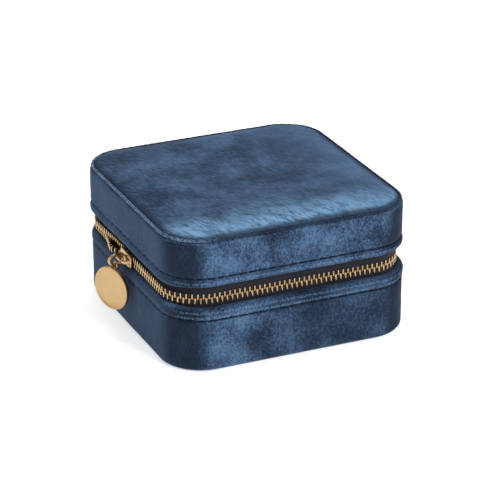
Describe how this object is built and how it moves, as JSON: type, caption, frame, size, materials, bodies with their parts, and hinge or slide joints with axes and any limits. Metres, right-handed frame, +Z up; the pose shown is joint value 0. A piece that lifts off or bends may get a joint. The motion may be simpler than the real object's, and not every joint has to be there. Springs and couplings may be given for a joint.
{
  "type": "travel jewelry case",
  "caption": "Small rounded-square velvet jewelry case with a zip-round lid, charm pull, ring rolls, compartments, necklace tabs and a lid pocket.",
  "frame": {"origin": "centre of the flat underside, on the surface the case stands on", "axes": "+Z up through the lid, -Y the wide front face, +Y the hinge side, -X the side with the zip's slider and charm at rest"},
  "size_m": [0.1101, 0.1, 0.055],
  "materials": {
    "velvet_navy": "short-pile navy velvet, sheen at grazing angles, brushed patches",
    "suede_lining": "matt micro-suede lining, pale grey-blue",
    "greyboard": "grey chipboard",
    "foam": "open-cell foam",
    "zip_tape": "woven herringbone zip tape, near black navy",
    "gold_metal": "polished light gold plate"
  },
  "bodies": {
    "base": {"base_bottom_panel": "velvet_navy", "base_velvet_band": "velvet_navy", "base_floor_board": "greyboard", "base_wall_board": "greyboard", "base_wall_lining": "suede_lining", "base_floor_lining": "suede_lining", "ring_roll_1": "suede_lining", "ring_roll_2": "suede_lining", "ring_roll_3": "suede_lining", "ring_roll_4": "suede_lining", "middle_divider": "suede_lining", "cross_divider": "suede_lining", "earring_divider": "suede_lining", "zip_tape_lower": "zip_tape", "zip_teeth_lower": "gold_metal", "zip_stop_left": "gold_metal", "zip_stop_right": "gold_metal", "hinge_strip_outer": "velvet_navy", "hinge_strip_lining": "suede_lining"},
    "lid": {"lid_top_panel": "velvet_navy", "lid_seam_piping": "velvet_navy", "lid_velvet_band": "velvet_navy", "lid_foam_pad": "foam", "lid_top_board": "greyboard", "lid_wall_board": "greyboard", "lid_inner_panel": "suede_lining", "lid_wall_lining": "suede_lining", "zip_tape_upper": "zip_tape", "zip_teeth_upper": "gold_metal", "lid_pocket": "suede_lining", "lid_pocket_elastic": "suede_lining", "necklace_bar": "suede_lining", "snap_socket_1": "gold_metal", "snap_socket_2": "gold_metal", "snap_socket_3": "gold_metal"},
    "tab_1": {"necklace_tab_1": "suede_lining", "snap_cap_1": "gold_metal"},
    "tab_2": {"necklace_tab_2": "suede_lining", "snap_cap_2": "gold_metal"},
    "tab_3": {"necklace_tab_3": "suede_lining", "snap_cap_3": "gold_metal"},
    "zip_slider": {"slider_body": "gold_metal"},
    "pull_link": {"pull_link": "gold_metal"},
    "pull_charm": {"pull_charm": "gold_metal"}
  },
  "joints": [
    {"name": "lid_hinge", "type": "hinge", "parent": "base", "child": "lid", "pos_m": [0, 0.05, 0.03025], "axis": [-1, 0, 0], "range_deg": [0, 110], "deforming": ["zip_tape_lower", "zip_teeth_lower", "zip_tape_upper", "zip_teeth_upper"]},
    {"name": "zip_slide", "type": "slide", "parent": "base", "child": "zip_slider", "axis": [0, -1, 0], "range_m": [-0.022, 0.028]},
    {"name": "link_swing", "type": "hinge", "parent": "zip_slider", "child": "pull_link", "pos_m": [-0.05285, 0, 0.029], "axis": [0, 1, 0], "range_deg": [0, 75]},
    {"name": "charm_swing", "type": "hinge", "parent": "pull_link", "child": "pull_charm", "pos_m": [-0.0541, 0, 0.0268], "axis": [1, 0, 0], "range_deg": [-40, 40]},
    {"name": "tab_1_flip", "type": "hinge", "parent": "lid", "child": "tab_1", "pos_m": [-0.02, -0.0379, 0.0452], "axis": [-1, 0, 0], "range_deg": [0, 80]},
    {"name": "tab_2_flip", "type": "hinge", "parent": "lid", "child": "tab_2", "pos_m": [0, -0.0379, 0.0452], "axis": [-1, 0, 0], "range_deg": [0, 80]},
    {"name": "tab_3_flip", "type": "hinge", "parent": "lid", "child": "tab_3", "pos_m": [0.02, -0.0379, 0.0452], "axis": [-1, 0, 0], "range_deg": [0, 80]}
  ]
}
